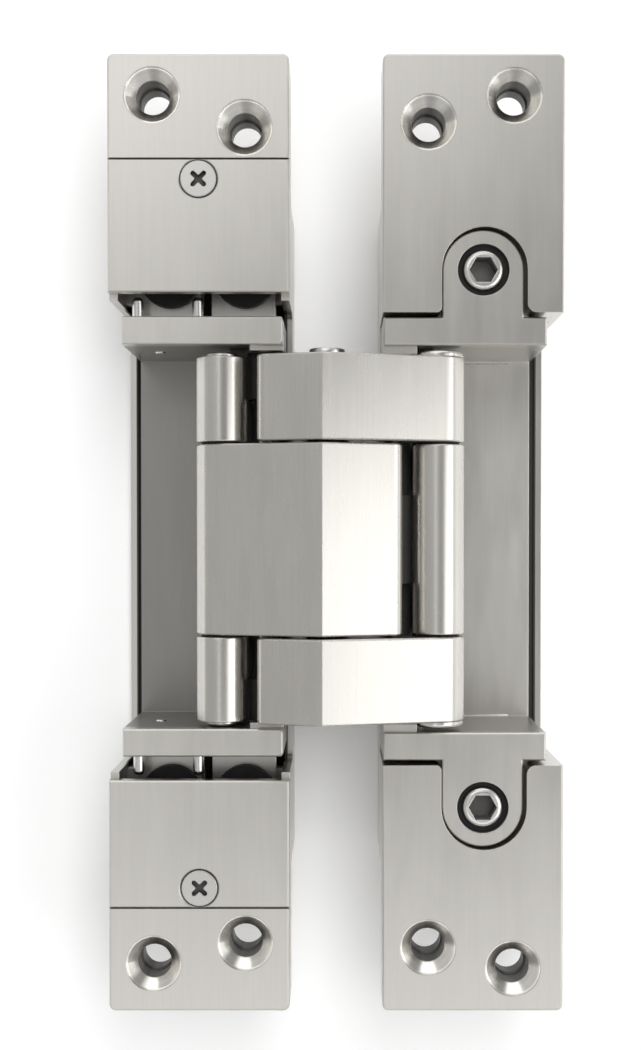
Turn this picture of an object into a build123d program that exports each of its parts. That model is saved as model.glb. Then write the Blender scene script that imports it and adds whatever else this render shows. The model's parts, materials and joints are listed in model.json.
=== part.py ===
from build123d import *
import math
import os

# Concealed door hinge with three-way adjustment, opened flat.
# X runs across both bodies, +Y into the timber, +Z along the pins. Millimetres.
os.makedirs("parts", exist_ok=True)

# Overall sizes
BODY_W = 36.0
BODY_D = 36.0
BODY_GAP = 18.5
TAB_D = 12.0
CORNER_R = 1.3
EDGE_CUT = 0.3
WALL = 1.7
BACK = 1.6
RIDGE_PROUD = 5.5
FRONT_Y = -(BODY_D - RIDGE_PROUD) / 2
LEFT_X = -(BODY_GAP + BODY_W) / 2
RIGHT_X = (BODY_GAP + BODY_W) / 2
LEFT_OUT = LEFT_X - BODY_W / 2
LEFT_IN = LEFT_X + BODY_W / 2
RIGHT_IN = RIGHT_X - BODY_W / 2
RIGHT_OUT = RIGHT_X + BODY_W / 2
PLAY = 0.15

# Pivots in plan: x, depth behind the front faces
P_LEFT = (-23.0, 5.912)
P_RIGHT = (20.7, 6.141)
CENTRE = (-1.8, 6.405)
D_LEFT = (-15.175, 10.458)
D_RIGHT = (13.696, 11.872)
Q_LEFT = (-15.168, 15.708)
Q_RIGHT = (16.206, 16.484)
BEND_LEFT = (-20.6, 13.2)
BEND_RIGHT = (20.1, 11.9)
RIDGE = (-2.7, -RIDGE_PROUD)
KNUCKLE_R = 5.2
BOSS_R = 5.0
EYE_R = 3.0
WEB_R = 2.2
PIN_R = 2.0
CENTRE_PIN_R = 2.6
RUN_FIT = 0.06
OPEN_PLAY = 1.2

# Arm outlines in plan
ARM_HALF = 3.8
WAIST = (RIDGE[0], -1.0)
NECK_R = 2.85
SHOULDER_R = 3.4
ROOF = 16.6
A_END_X = 13.2
B_END_X = -15.7
A_SHOULDER = (A_END_X - SHOULDER_R, 2.9)
B_SHOULDER = (B_END_X + SHOULDER_R, 2.4)
CORNER_FILLET = 2.2
SOFT_EDGE = 0.3

# Heights from the middle of the linkage, leaf by leaf and then flange by flange
ARM_H = 19.05
LEAF_GAP = 0.5
LEAF_T = 17.05
LEAF_IN = ARM_H + LEAF_GAP
LEAF_OUT = LEAF_IN + LEAF_T
SPLIT = LEAF_IN + LEAF_T / 2
SPLIT_GAP = 0.6
TONGUE_H = 8.9
FORK_IN = TONGUE_H + 0.6
HEAD_T = 0.95
HEAD_TOP = LEAF_OUT + HEAD_T
SEAT_GAP = 0.05
LEFT_FLANGE_T = 5.55
RIGHT_FLANGE_T = 5.6
CAR_L_IN = HEAD_TOP + 0.65
CAR_L_OUT = CAR_L_IN + LEFT_FLANGE_T
CAR_R_IN = HEAD_TOP + 1.05
CAR_R_OUT = CAR_R_IN + RIGHT_FLANGE_T
LEFT_PAD_H = LEAF_OUT + 0.65
RIGHT_PAD_H = LEAF_OUT + 0.4

# Travel of the two adjustments
LIFT_TRAVEL = 2.0
DEPTH_TRAVEL = 1.0

# Carriers in plan
CAR_L_X = (LEFT_OUT + WALL + 1.05, LEFT_IN - 1.25)
CAR_R_X = (RIGHT_IN + 0.25, RIGHT_OUT - WALL - 1.55)
FLOOR_T = 2.8
FLOOR_Y = BODY_D - BACK - 2 * DEPTH_TRAVEL - FLOOR_T
INNER_LIP_Y = 21.0
OUTER_LIP_Y = BODY_D - BACK - 0.7
INNER_WALL_Y = INNER_LIP_Y - DEPTH_TRAVEL - 0.4
INNER_WALL_T = 1.8
DEEP_INSET = 1.9
PAD_Y = 2.3
PAD_EDGE = 6.7
PAD_SLANT = 2.9
FLANGE_ROUND = 0.8
PIN_SINK = 0.8
RAIL_GAP = 0.05
RAIL_W = 4.0

# Left lift plates, eccentric discs and guide pins
GUIDE_X = [LEFT_X - 12.75, LEFT_X - 0.65]
GUIDE_Y = 6.0
GUIDE_R = 1.1
GUIDE_TOP = CAR_L_OUT + LIFT_TRAVEL + 2.55
LIFT_Y = 11.0
LIFT_T = 3.0
LIFT_PLATES = [(CAR_L_X[0] + 1.3, GUIDE_X[1] + 0.3), (GUIDE_X[1] + 2.4, CAR_L_X[1] - 1.9)]
DISC_X = [LEFT_X - 6.6, LEFT_X + 8.65]
DISC_Z = CAR_L_OUT + 9.45
DISC_R = 6.4
DISC_T = 2.6
DISC_GAP = 0.15
DISC_HEX = 4.0
HUB_R = 3.0
STUB_R = 1.5
STUB_SHIFT = 2.5
STUB_LEN = 3.4
STUB_PLAY = 0.2
LIFT_TOP = DISC_Z + 9.3
RIB_GAP = 0.5
RIB_T = 3.6
RIB_Z = (DISC_Z - 5.0, DISC_Z + 5.0)
RIB_X = [(LEFT_OUT + WALL, LIFT_PLATES[0][1] + 0.2), (LIFT_PLATES[1][0] + 0.4, LEFT_IN - WALL)]

# Left pocket and covers
SIDE_CUT_H = CAR_L_OUT + LIFT_TRAVEL + 1.45
POCKET_H = LIFT_TOP + LIFT_TRAVEL + 1.0
POCKET_END = 2.0
DEEP_HALF = POCKET_H + POCKET_END
COVER_IN = SIDE_CUT_H + 1.3
COVER_SCREW_Z = DEEP_HALF + 2.95
COVER_OUT = COVER_SCREW_Z + 4.1
COVER_T = 2.6
COVER_SCREW_R = 3.6
COVER_SCREW_GAP = 0.2
COVER_SHANK_R = 1.6
COVER_SCREW_LEN = 9.0
COVER_CONE = 1.6
CROSS_LEN = 4.0
CROSS_W = 0.95
CROSS_DEPTH = 1.5
SCREW_CENTRE_R = 0.8
FREE_EDGE_R = 0.5
WALL_CORNER_R = 1.8

# Ends of the bodies, and the middle that everything is measured from
END_TAB = 20.45
BODY_H = 2 * (COVER_OUT + END_TAB)
MID_Z = BODY_H / 2
LEFT_DROP = 0.4
LINK_DROP = 0.9
LEFT_MID = MID_Z - LEFT_DROP
LINK_MID = MID_Z - LINK_DROP

# Countersunk fixing holes: distance from the body's middle in x, distance from its end, which end
HOLE_R = 3.35
HOLE_BACK_R = 3.0
HOLE_STEP = 7.5
CONE_R = 5.25
LIP_R = 5.55
LIP_DEPTH = 0.35
LEFT_HOLES = [(-9.15, 8.1, 1), (9.15, 14.5, 1), (-9.15, 9.5, -1), (9.15, 13.6, -1)]
RIGHT_HOLES = [(8.05, 8.2, 1), (-8.9, 13.4, 1), (8.05, 8.5, -1), (-8.9, 12.7, -1)]

# Right blocks and tongues
BLOCK_IN = CAR_R_OUT + 0.8
SLOT_X = RIGHT_X + 2.25
SLOT_R = 8.5
SLOT_Z = BLOCK_IN + 8.4
SLOT_D = 7.4
MOUTH_R = (1.0, 1.8)
TONGUE_X = SLOT_X - 0.2
TONGUE_R = 8.1
TONGUE_Y = 1.2
TONGUE_T = 4.6
ADJ_X = SLOT_X - 0.15
ADJ_Z = SLOT_Z + 0.2
ADJ_RING_R = 5.15
ADJ_HEAD_R = 4.1
ADJ_HEX = 4.9
ADJ_SHANK_R = 3.4
ADJ_LEN = 14.0
ADJ_SOCKET = 5.0
ADJ_RIM = 1.1
ADJ_WEB = 1.2
SNAP_Y = 1.2
SNAP_T = 1.4


def level(dz, middle=LINK_MID):
    """Horizontal plane dz above the middle; local y is the depth behind the front faces."""
    return Plane(origin=(0, FRONT_Y, middle + dz))


def face(depth, middle=MID_Z):
    """Upright plane facing the viewer, depth behind the front faces; local y is the height from the middle."""
    return Plane(origin=(0, FRONT_Y + depth, middle), x_dir=(1, 0, 0), z_dir=(0, -1, 0))


def side(x, middle=MID_Z):
    """Upright plane facing +X; local x is the depth behind the front faces, local y the height."""
    return Plane(origin=(x, FRONT_Y, middle), x_dir=(0, 1, 0), z_dir=(1, 0, 0))


def block(x0, x1, z0, z1):
    """Rectangle on a face plane between two x and two heights."""
    with Locations(((x0 + x1) / 2, (z0 + z1) / 2)):
        Rectangle(abs(x1 - x0), abs(z1 - z0))


def plan(x0, x1, y0, y1):
    """Rectangle on a level plane between two x and two depths."""
    with Locations(((x0 + x1) / 2, (y0 + y1) / 2)):
        Rectangle(abs(x1 - x0), abs(y1 - y0))


def bar(a, ra, b, rb):
    """Two round ends joined by their common tangents."""
    dx = b[0] - a[0]
    dy = b[1] - a[1]
    length = math.hypot(dx, dy)
    lean = math.acos((ra - rb) / length)
    along = math.atan2(dy, dx)
    pts = []
    for c, r, s in ((a, ra, 1), (b, rb, 1), (b, rb, -1), (a, ra, -1)):
        t = along + s * lean
        pts.append((c[0] + r * math.cos(t), c[1] + r * math.sin(t)))
    Polygon(*pts, align=None)
    with Locations(a):
        Circle(ra)
    with Locations(b):
        Circle(rb)


def front_tangent(ridge, centre, radius):
    """Point where the sloped front face runs into the round end, and the face's direction."""
    dx = centre[0] - ridge[0]
    dy = centre[1] - ridge[1]
    side_sign = 1 if dx < 0 else -1
    turn = math.atan2(dy, dx) + side_sign * math.asin(radius / math.hypot(dx, dy))
    normal = turn + side_sign * math.pi / 2
    return (centre[0] + radius * math.cos(normal), centre[1] + radius * math.sin(normal)), turn


def back_edge(knuckle, waist, half):
    """Two points along the back of an arm, half its thickness behind the line knuckle to waist."""
    dx = waist[0] - knuckle[0]
    dy = waist[1] - knuckle[1]
    length = math.hypot(dx, dy)
    nx = -dy / length
    ny = dx / length
    if ny < 0:
        nx = -nx
        ny = -ny
    return [(knuckle[0] + nx * half, knuckle[1] + ny * half), (waist[0] + nx * half, waist[1] + ny * half)]


def arm_profile(knuckle, end_x, shoulder):
    """Roof-shaped arm in plan: round end, sloped front faces meeting at the ridge, shoulder and centre boss."""
    tangent, turn = front_tangent(RIDGE, knuckle, KNUCKLE_R)
    back = back_edge(knuckle, WAIST, ARM_HALF)
    fall = abs(end_x - RIDGE[0]) * math.tan(math.radians(ROOF))
    corner = (end_x, RIDGE[1] + fall)
    Polygon(tangent, RIDGE, back[1], back[0], align=None)
    Polygon(RIDGE, corner, (end_x, shoulder[1]), shoulder, CENTRE, align=None)
    with Locations(knuckle):
        Circle(KNUCKLE_R)
    with Locations(CENTRE):
        Circle(BOSS_R)
    bar(CENTRE, BOSS_R - 1.0, shoulder, SHOULDER_R)


def shoulder_corner(end_x):
    """Where the short front face of an arm meets its end, for picking the edge that is rounded."""
    fall = abs(end_x - RIDGE[0]) * math.tan(math.radians(ROOF))
    return (end_x, FRONT_Y + RIDGE[1] + fall, LINK_MID)


REACH = 20.0


def housing_blank(middle_x):
    """Front slab with rounded corners and a softened front edge, and the deep middle behind it."""
    with BuildSketch(face(0)) as slab:
        with Locations((middle_x, 0)):
            RectangleRounded(BODY_W, BODY_H, CORNER_R)
    extrude(slab.sketch, amount=-TAB_D)
    with BuildSketch(face(TAB_D)) as deep:
        block(middle_x - BODY_W / 2, middle_x + BODY_W / 2, -DEEP_HALF, DEEP_HALF)
    extrude(deep.sketch, amount=-(BODY_D - TAB_D))


def fixing_holes(middle_x, places):
    """Countersunk fixing holes through the end tabs: a lip, a cone, a bore and a narrower bore behind."""
    for x, from_end, end in places:
        spot = face(0).location * Pos(middle_x + x, end * (BODY_H / 2 - from_end), 0)
        with Locations(spot):
            Hole(radius=LIP_R, depth=LIP_DEPTH)
            Hole(radius=HOLE_BACK_R, depth=TAB_D)
        with Locations(spot * Pos(0, 0, -LIP_DEPTH)):
            CounterSinkHole(radius=HOLE_R, counter_sink_radius=CONE_R, depth=HOLE_STEP, counter_sink_angle=90)


# Left housing: end tabs, deep middle, thin side walls cut down beside the arms, seats for the covers
with BuildPart() as left_housing:
    housing_blank(LEFT_X)
    chamfer(left_housing.faces().sort_by(Axis.Y)[0].edges(), length=EDGE_CUT)
    chamfer(left_housing.faces().sort_by(Axis.Y)[-1].edges(), length=EDGE_CUT)
    with BuildSketch(face(0, LEFT_MID)):
        block(LEFT_OUT + WALL, LEFT_IN - WALL, -POCKET_H, POCKET_H)
    extrude(amount=-(BODY_D - BACK), mode=Mode.SUBTRACT)
    for s in (1, -1):
        with BuildSketch(face(0)):
            block(LEFT_OUT, LEFT_IN, s * (SIDE_CUT_H - LEFT_DROP), s * COVER_OUT)
        extrude(amount=-COVER_T, mode=Mode.SUBTRACT)
        with BuildSketch(face(LIFT_Y + LIFT_T + RIB_GAP, LEFT_MID)):
            for x0, x1 in RIB_X:
                block(x0, x1, s * RIB_Z[0], s * RIB_Z[1])
        extrude(amount=-RIB_T)
        with BuildSketch(face(LIFT_Y + LIFT_T + RIB_GAP, LEFT_MID)):
            for x in DISC_X:
                with Locations((x + STUB_SHIFT / 2, s * DISC_Z)):
                    SlotOverall(STUB_SHIFT + 4 * STUB_R, 2 * (STUB_R + STUB_PLAY))
        extrude(amount=-RIB_T, mode=Mode.SUBTRACT)
        with BuildSketch(face(COVER_T)):
            with Locations((LEFT_X, s * COVER_SCREW_Z)):
                Circle(COVER_SHANK_R + PLAY)
        extrude(amount=-(COVER_SCREW_LEN - COVER_T), mode=Mode.SUBTRACT)
    with BuildSketch(side(LEFT_OUT, LEFT_MID)):
        with Locations(((OUTER_LIP_Y - REACH) / 2, 0)):
            RectangleRounded(OUTER_LIP_Y + REACH, 2 * SIDE_CUT_H, WALL_CORNER_R)
    extrude(amount=WALL, mode=Mode.SUBTRACT)
    with BuildSketch(side(LEFT_IN - WALL, LEFT_MID)):
        with Locations(((INNER_LIP_Y - REACH) / 2, 0)):
            RectangleRounded(INNER_LIP_Y + REACH, 2 * SIDE_CUT_H, WALL_CORNER_R)
    extrude(amount=WALL, mode=Mode.SUBTRACT)
    with BuildSketch(face(FLOOR_Y + FLOOR_T + RAIL_GAP)):
        for x in (CAR_L_X[0] + 2 * RAIL_W, CAR_L_X[1] - 2 * RAIL_W):
            block(x - RAIL_W / 2, x + RAIL_W / 2, -SIDE_CUT_H, SIDE_CUT_H)
    extrude(amount=-(BODY_D - FLOOR_Y - FLOOR_T - RAIL_GAP - BACK))
    fixing_holes(LEFT_X, LEFT_HOLES)
left_housing.part.label = "left_housing"

other_parts = {}

# Covers over the lift gear, with softened front edges
for name, s in (("left_top_cover", 1), ("left_bottom_cover", -1)):
    with BuildPart() as cover:
        with BuildSketch(face(0)):
            block(LEFT_OUT, LEFT_IN, s * COVER_IN - LEFT_DROP, s * (COVER_OUT - PLAY))
        extrude(amount=-(COVER_T - SEAT_GAP))
        chamfer(cover.faces().sort_by(Axis.Y)[0].edges(), length=EDGE_CUT)
        with BuildSketch(face(0)):
            with Locations((LEFT_X, s * COVER_SCREW_Z)):
                Circle(COVER_SCREW_R + 2 * COVER_SCREW_GAP)
        extrude(amount=-(COVER_CONE + COVER_SCREW_GAP), taper=45, mode=Mode.SUBTRACT)
        with BuildSketch(face(0)):
            with Locations((LEFT_X, s * COVER_SCREW_Z)):
                Circle(COVER_SHANK_R + 3 * PLAY)
        extrude(amount=-COVER_T, mode=Mode.SUBTRACT)
    cover.part.label = name
    other_parts[name] = cover.part

# Cover screws with a cross recess
for name, s in (("left_top_cover_screw", 1), ("left_bottom_cover_screw", -1)):
    with BuildPart() as screw:
        with BuildSketch(face(COVER_SCREW_GAP / 2)):
            with Locations((LEFT_X, s * COVER_SCREW_Z)):
                Circle(COVER_SCREW_R)
        extrude(amount=-COVER_CONE, taper=45)
        with BuildSketch(face(COVER_SCREW_GAP / 2)):
            with Locations((LEFT_X, s * COVER_SCREW_Z)):
                Circle(COVER_SHANK_R)
        extrude(amount=-(COVER_SCREW_LEN - COVER_SCREW_GAP))
        with BuildSketch(face(COVER_SCREW_GAP / 2)):
            for turn in (45, 135):
                with Locations(Location((LEFT_X, s * COVER_SCREW_Z, 0), (0, 0, turn))):
                    SlotOverall(CROSS_LEN, CROSS_W)
            with Locations((LEFT_X, s * COVER_SCREW_Z)):
                Circle(SCREW_CENTRE_R)
        extrude(amount=-CROSS_DEPTH, mode=Mode.SUBTRACT)
    screw.part.label = name
    other_parts[name] = screw.part


def flanges(x_span, deep_span, z_span, front, middle):
    """The two flanges of a carrier, narrower behind the housing's cut-down inner wall."""
    for s in (1, -1):
        with BuildSketch(face(front, middle)) as wide:
            block(x_span[0], x_span[1], s * z_span[0], s * z_span[1])
        extrude(wide.sketch, amount=-(INNER_WALL_Y - front))
        with BuildSketch(face(INNER_WALL_Y, middle)) as narrow:
            block(deep_span[0], deep_span[1], s * z_span[0], s * z_span[1])
        extrude(narrow.sketch, amount=-(FLOOR_Y - INNER_WALL_Y))


# Left carrier: pocket floor, two flanges, low inner wall, wear pads and bores for the deep and link pins
with BuildPart() as left_carrier:
    flanges(CAR_L_X, (CAR_L_X[0], LEFT_IN - DEEP_INSET), (CAR_L_IN, CAR_L_OUT), 0, LEFT_MID)
    fillet(left_carrier.edges().filter_by(Axis.Y).group_by(Axis.Y)[0], radius=FLANGE_ROUND)
    front_faces = left_carrier.faces().group_by(Axis.Y)[0]
    chamfer(front_faces.edges(), length=EDGE_CUT)
    with BuildSketch(face(FLOOR_Y, LEFT_MID)):
        block(CAR_L_X[0], LEFT_IN - DEEP_INSET, -CAR_L_OUT, CAR_L_OUT)
    extrude(amount=-FLOOR_T)
    with BuildSketch(face(INNER_WALL_Y, LEFT_MID)):
        block(LEFT_IN - DEEP_INSET - INNER_WALL_T, LEFT_IN - DEEP_INSET, -CAR_L_OUT, CAR_L_OUT)
    extrude(amount=-(FLOOR_Y - INNER_WALL_Y))
    for s in (1, -1):
        with BuildSketch(level(s * LEFT_PAD_H, LEFT_MID)):
            Polygon(
                (CAR_L_X[1], PAD_Y), (CAR_L_X[1], INNER_WALL_Y), (LEFT_IN - DEEP_INSET, INNER_WALL_Y),
                (LEFT_IN - DEEP_INSET, FLOOR_Y), (CAR_L_X[1] - PAD_EDGE - PAD_SLANT, FLOOR_Y),
                (CAR_L_X[1] - PAD_EDGE, PAD_Y), align=None,
            )
        extrude(amount=s * (CAR_L_IN - LEFT_PAD_H))
        with BuildSketch(level(s * LEFT_PAD_H, LEFT_MID)):
            with Locations(D_LEFT, Q_LEFT):
                Circle(PIN_R)
        extrude(amount=s * (CAR_L_OUT - LEFT_PAD_H), mode=Mode.SUBTRACT)
        with BuildSketch(level(s * CAR_L_OUT, LEFT_MID)):
            for x in GUIDE_X:
                with Locations((x, GUIDE_Y)):
                    Circle(GUIDE_R)
        extrude(amount=-s * 3 * GUIDE_R, mode=Mode.SUBTRACT)
left_carrier.part.label = "left_carrier"

# Guide pins, lift plates and eccentric discs of the height adjustment
for name, s in (("left_top", 1), ("left_bottom", -1)):
    with BuildPart() as guides:
        with BuildSketch(level(s * (CAR_L_OUT - 3 * GUIDE_R), LEFT_MID)):
            for x in GUIDE_X:
                with Locations((x, GUIDE_Y)):
                    Circle(GUIDE_R)
        extrude(amount=s * (GUIDE_TOP - CAR_L_OUT + 3 * GUIDE_R))
        tips = guides.edges().filter_by(GeomType.CIRCLE).group_by(Axis.Z)[-1 if s > 0 else 0]
        fillet(tips, radius=GUIDE_R * 0.8)
    guides.part.label = name + "_guide_pins"
    other_parts[name + "_guide_pins"] = guides.part
    with BuildPart() as plates:
        with BuildSketch(face(LIFT_Y, LEFT_MID)):
            for x0, x1 in LIFT_PLATES:
                block(x0, x1, s * CAR_L_OUT, s * LIFT_TOP)
        extrude(amount=-LIFT_T)
        with BuildSketch(face(LIFT_Y, LEFT_MID)):
            with Locations(*[(x, s * DISC_Z) for x in DISC_X]):
                Circle(HUB_R + RUN_FIT)
        extrude(amount=-LIFT_T, mode=Mode.SUBTRACT)
    plates.part.label = name + "_lift_plates"
    other_parts[name + "_lift_plates"] = plates.part
    for which, x in (("outer", DISC_X[0]), ("inner", DISC_X[1])):
        with BuildPart() as disc:
            with BuildSketch(face(LIFT_Y - DISC_GAP - DISC_T, LEFT_MID)):
                with Locations((x, s * DISC_Z)):
                    Circle(DISC_R)
            extrude(amount=-DISC_T)
            with BuildSketch(face(LIFT_Y - DISC_GAP, LEFT_MID)):
                with Locations((x, s * DISC_Z)):
                    Circle(HUB_R)
            extrude(amount=-(LIFT_T + DISC_GAP))
            with BuildSketch(face(LIFT_Y + LIFT_T, LEFT_MID)):
                with Locations((x + STUB_SHIFT, s * DISC_Z)):
                    Circle(STUB_R)
            extrude(amount=-STUB_LEN)
            with BuildSketch(face(LIFT_Y - DISC_GAP - DISC_T, LEFT_MID)):
                with Locations((x, s * DISC_Z)):
                    RegularPolygon(DISC_HEX / 2, 6, major_radius=False)
            extrude(amount=-DISC_T, mode=Mode.SUBTRACT)
        disc.part.label = name + "_" + which + "_eccentric"
        other_parts[name + "_" + which + "_eccentric"] = disc.part

# Right housing: solid end blocks with U slots for the carrier's tongues, pocket between them
with BuildPart() as right_housing:
    housing_blank(RIGHT_X)
    chamfer(right_housing.faces().sort_by(Axis.Y)[0].edges(), length=EDGE_CUT)
    chamfer(right_housing.faces().sort_by(Axis.Y)[-1].edges(), length=EDGE_CUT)
    with BuildSketch(face(0, LINK_MID)):
        block(RIGHT_IN + WALL, RIGHT_OUT - WALL, -BLOCK_IN, BLOCK_IN)
    extrude(amount=-(BODY_D - BACK), mode=Mode.SUBTRACT)
    with BuildSketch(side(RIGHT_OUT - WALL, LINK_MID)):
        with Locations(((OUTER_LIP_Y - REACH) / 2, 0)):
            Rectangle(OUTER_LIP_Y + REACH, 2 * BLOCK_IN)
    extrude(amount=WALL, mode=Mode.SUBTRACT)
    with BuildSketch(side(RIGHT_IN, LINK_MID)):
        with Locations(((INNER_LIP_Y - REACH) / 2, 0)):
            Rectangle(INNER_LIP_Y + REACH, 2 * BLOCK_IN)
    extrude(amount=WALL, mode=Mode.SUBTRACT)
    for s in (1, -1):
        with BuildSketch(face(0, LINK_MID)):
            block(SLOT_X - SLOT_R, SLOT_X + SLOT_R, s * BLOCK_IN, s * SLOT_Z)
            with Locations((SLOT_X, s * SLOT_Z)):
                Circle(SLOT_R)
        extrude(amount=-SLOT_D, mode=Mode.SUBTRACT)
        with BuildSketch(face(SLOT_D, LINK_MID)):
            with Locations((ADJ_X, s * ADJ_Z)):
                Circle(ADJ_SHANK_R + RUN_FIT)
        extrude(amount=-ADJ_LEN, mode=Mode.SUBTRACT)
        for x, r in zip((SLOT_X - SLOT_R, SLOT_X + SLOT_R), MOUTH_R):
            mouth = (x, FRONT_Y + SLOT_D / 2, LINK_MID + s * BLOCK_IN)
            fillet(right_housing.edges().filter_by(Axis.Y).sort_by_distance(mouth)[0], radius=r)
    fixing_holes(RIGHT_X, RIGHT_HOLES)
right_housing.part.label = "right_housing"

# Right carrier: pocket floor, flanges, wear pads and the two tongues that fill the U slots
with BuildPart() as right_carrier:
    flanges(CAR_R_X, (RIGHT_IN + DEEP_INSET, CAR_R_X[1]), (CAR_R_IN, CAR_R_OUT), TONGUE_Y, LINK_MID)
    for s in (1, -1):
        with BuildSketch(face(TONGUE_Y, LINK_MID)):
            block(TONGUE_X - TONGUE_R, TONGUE_X + TONGUE_R, s * (CAR_R_OUT - FLANGE_ROUND), s * SLOT_Z)
            with Locations((TONGUE_X, s * SLOT_Z)):
                Circle(TONGUE_R)
        extrude(amount=-TONGUE_T)
    front_faces = right_carrier.faces().group_by(Axis.Y)[0]
    chamfer(front_faces.edges(), length=EDGE_CUT)
    with BuildSketch(face(FLOOR_Y, LINK_MID)):
        block(RIGHT_IN + DEEP_INSET, CAR_R_X[1], -CAR_R_OUT, CAR_R_OUT)
    extrude(amount=-FLOOR_T)
    with BuildSketch(face(INNER_WALL_Y, LINK_MID)):
        block(RIGHT_IN + DEEP_INSET, RIGHT_IN + DEEP_INSET + INNER_WALL_T, -CAR_R_OUT, CAR_R_OUT)
    extrude(amount=-(FLOOR_Y - INNER_WALL_Y))
    for s in (1, -1):
        with BuildSketch(level(s * RIGHT_PAD_H)):
            Polygon(
                (CAR_R_X[0], PAD_Y), (CAR_R_X[0], INNER_WALL_Y), (RIGHT_IN + DEEP_INSET, INNER_WALL_Y),
                (RIGHT_IN + DEEP_INSET, FLOOR_Y), (CAR_R_X[0] + PAD_EDGE + PAD_SLANT, FLOOR_Y),
                (CAR_R_X[0] + PAD_EDGE, PAD_Y), align=None,
            )
            with Locations(P_RIGHT):
                Circle(KNUCKLE_R + 2 * PLAY, mode=Mode.SUBTRACT)
        extrude(amount=s * (CAR_R_IN - RIGHT_PAD_H))
        with BuildSketch(level(s * RIGHT_PAD_H)):
            with Locations(D_RIGHT, Q_RIGHT):
                Circle(PIN_R)
        extrude(amount=s * (CAR_R_OUT - RIGHT_PAD_H), mode=Mode.SUBTRACT)
        with BuildSketch(face(TONGUE_Y, LINK_MID)):
            with Locations((ADJ_X, s * ADJ_Z)):
                Circle(ADJ_RING_R)
        extrude(amount=-(TONGUE_T - ADJ_WEB), mode=Mode.SUBTRACT)
        with BuildSketch(face(TONGUE_Y, LINK_MID)):
            with Locations((ADJ_X, s * ADJ_Z)):
                Circle(ADJ_SHANK_R + RUN_FIT)
        extrude(amount=-TONGUE_T, mode=Mode.SUBTRACT)
right_carrier.part.label = "right_carrier"

# Adjusting screws with a hollow hexagon head, and the snap rings that hold them in the tongues
for name, s in (("right_top", 1), ("right_bottom", -1)):
    with BuildPart() as adjuster:
        with BuildSketch(face(TONGUE_Y - PLAY, LINK_MID)):
            with Locations((ADJ_X, s * ADJ_Z)):
                Circle(ADJ_HEAD_R)
        extrude(amount=-(TONGUE_T - ADJ_WEB + PLAY - SEAT_GAP))
        with BuildSketch(face(TONGUE_Y + TONGUE_T - ADJ_WEB - PLAY, LINK_MID)):
            with Locations((ADJ_X, s * ADJ_Z)):
                Circle(ADJ_SHANK_R)
        extrude(amount=-ADJ_LEN)
        fillet(adjuster.edges().filter_by(GeomType.CIRCLE).sort_by(Axis.Y)[0], radius=ADJ_RIM)
        with BuildSketch(face(TONGUE_Y - PLAY, LINK_MID)):
            with Locations((ADJ_X, s * ADJ_Z)):
                RegularPolygon(ADJ_HEX / 2, 6, major_radius=False)
        extrude(amount=-ADJ_SOCKET, mode=Mode.SUBTRACT)
    adjuster.part.label = name + "_adjusting_screw"
    other_parts[name + "_adjusting_screw"] = adjuster.part
    with BuildPart() as snap_ring:
        with BuildSketch(face(TONGUE_Y + SNAP_Y, LINK_MID)):
            with Locations((ADJ_X, s * ADJ_Z)):
                Circle(ADJ_RING_R - SEAT_GAP / 2)
                Circle(ADJ_HEAD_R + RUN_FIT, mode=Mode.SUBTRACT)
        extrude(amount=-SNAP_T)
    snap_ring.part.label = name + "_snap_ring"
    other_parts[name + "_snap_ring"] = snap_ring.part

# Centre arm: round end in the left links, tongue down to the deep pin of the right carrier
with BuildPart() as centre_arm:
    with BuildSketch(level(-ARM_H)):
        arm_profile(P_LEFT, A_END_X, A_SHOULDER)
    extrude(amount=2 * ARM_H)
    corner = centre_arm.edges().filter_by(Axis.Z).sort_by_distance(shoulder_corner(A_END_X))[0]
    fillet(corner, radius=CORNER_FILLET)
    chamfer(centre_arm.faces().sort_by(Axis.Z)[0].edges(), length=EDGE_CUT)
    chamfer(centre_arm.faces().sort_by(Axis.Z)[-1].edges(), length=EDGE_CUT)
    with BuildSketch(level(-TONGUE_H)):
        bar(A_SHOULDER, NECK_R, D_RIGHT, EYE_R)
    extrude(amount=2 * TONGUE_H)
    with BuildSketch(level(-ARM_H)):
        with Locations(CENTRE):
            Circle(CENTRE_PIN_R + RUN_FIT)
        with Locations(P_LEFT):
            Circle(PIN_R + OPEN_PLAY)
        with Locations(D_RIGHT):
            Circle(PIN_R + RUN_FIT)
    extrude(amount=2 * ARM_H, mode=Mode.SUBTRACT)
centre_arm.part.label = "centre_arm"

# Outer arm leaves: round end on the right link, neck down to the deep pin of the left carrier
for name, s in (("outer_arm_top", 1), ("outer_arm_bottom", -1)):
    with BuildPart() as leaf:
        with BuildSketch(level(s * LEAF_IN)):
            arm_profile(P_RIGHT, B_END_X, B_SHOULDER)
        extrude(amount=s * LEAF_T)
        corner = leaf.edges().filter_by(Axis.Z).sort_by_distance(shoulder_corner(B_END_X))[0]
        fillet(corner, radius=CORNER_FILLET)
        chamfer(leaf.faces().sort_by(Axis.Z)[0].edges(), length=EDGE_CUT)
        chamfer(leaf.faces().sort_by(Axis.Z)[-1].edges(), length=EDGE_CUT)
        with BuildSketch(level(s * (SPLIT + SPLIT_GAP / 2))):
            bar(B_SHOULDER, NECK_R, D_LEFT, EYE_R)
        extrude(amount=s * (LEAF_OUT - SPLIT - SPLIT_GAP / 2))
        with BuildSketch(level(s * LEAF_IN)):
            with Locations(CENTRE):
                Circle(CENTRE_PIN_R)
            with Locations(P_RIGHT):
                Circle(PIN_R)
            with Locations(D_LEFT):
                Circle(PIN_R + RUN_FIT)
        extrude(amount=s * LEAF_T, mode=Mode.SUBTRACT)
    leaf.part.label = name
    other_parts[name] = leaf.part

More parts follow.
